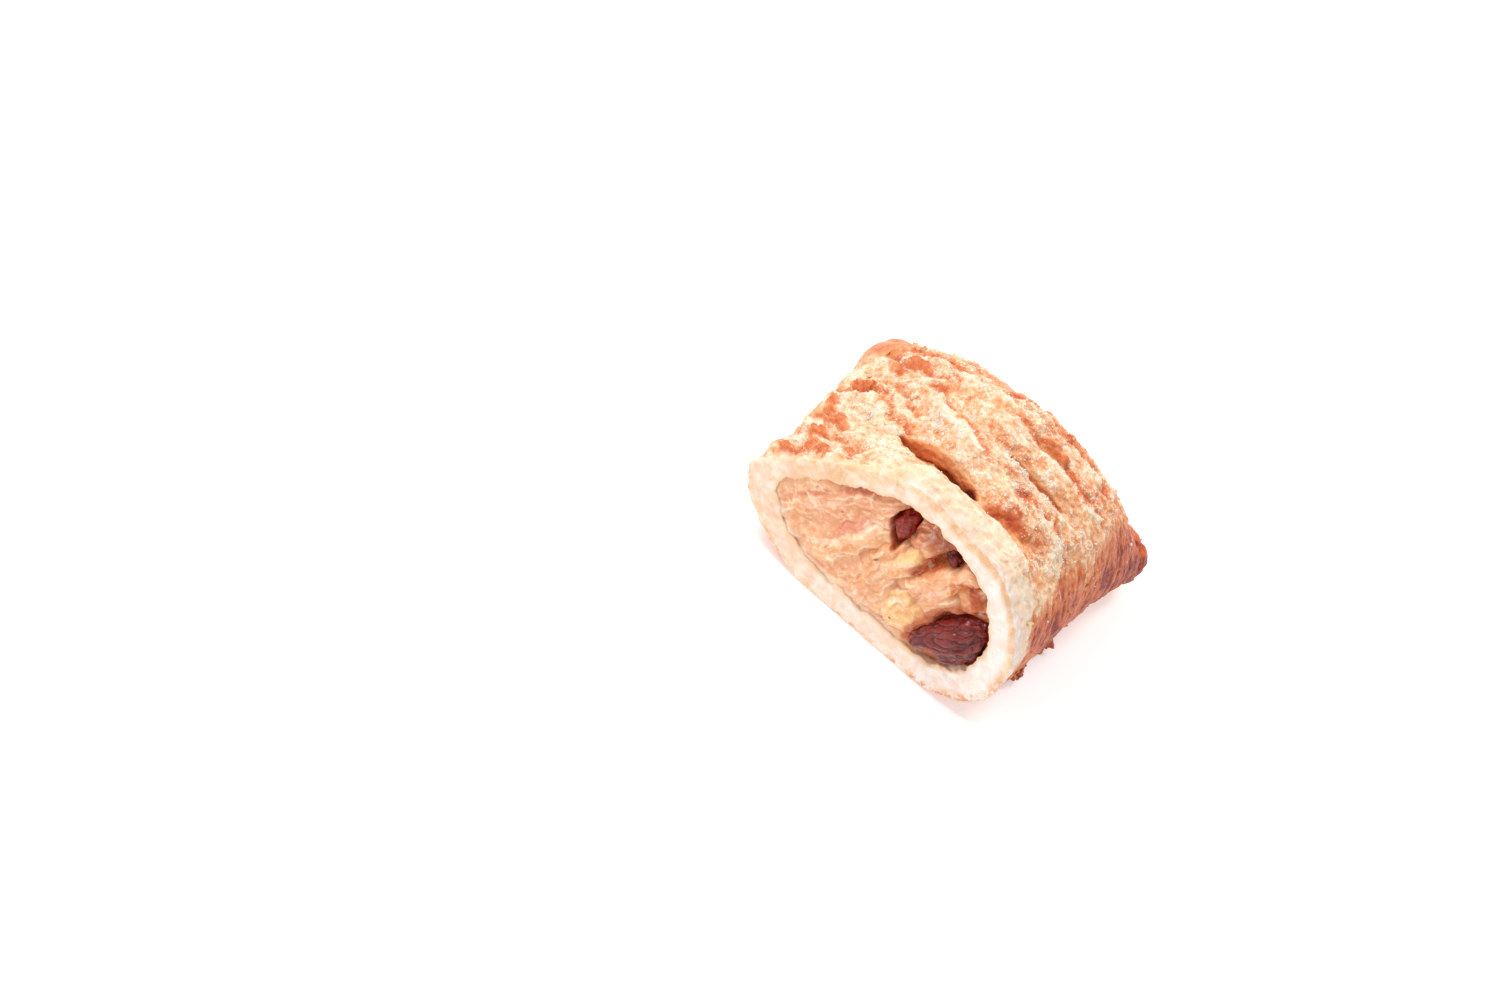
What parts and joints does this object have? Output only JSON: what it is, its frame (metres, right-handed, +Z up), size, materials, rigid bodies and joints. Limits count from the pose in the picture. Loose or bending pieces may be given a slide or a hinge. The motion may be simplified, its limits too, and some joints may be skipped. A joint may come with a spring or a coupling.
{
  "type": "apple strudel",
  "caption": "Half of a sugared puff pastry strudel, cut across to show its apple filling and raisins, with slashed top and sealed end.",
  "frame": {"origin": "centre of the footprint on the table", "axes": "+X across the parcel, +Y from the cut face towards the sealed end, +Z up"},
  "size_m": [0.0708, 0.0664, 0.0428],
  "materials": {
    "pastry": "golden baked puff pastry, matte with a thin sugar glaze",
    "filling": "moist translucent stewed apple",
    "raisin": "dark glossy wrinkled skin"
  },
  "bodies": {
    "root": {"pastry_crust": "pastry", "apple_filling": "filling", "raisin_low": "raisin", "raisin_high": "raisin", "raisin_edge": "raisin", "raisin_slash": "raisin"}
  },
  "joints": []
}
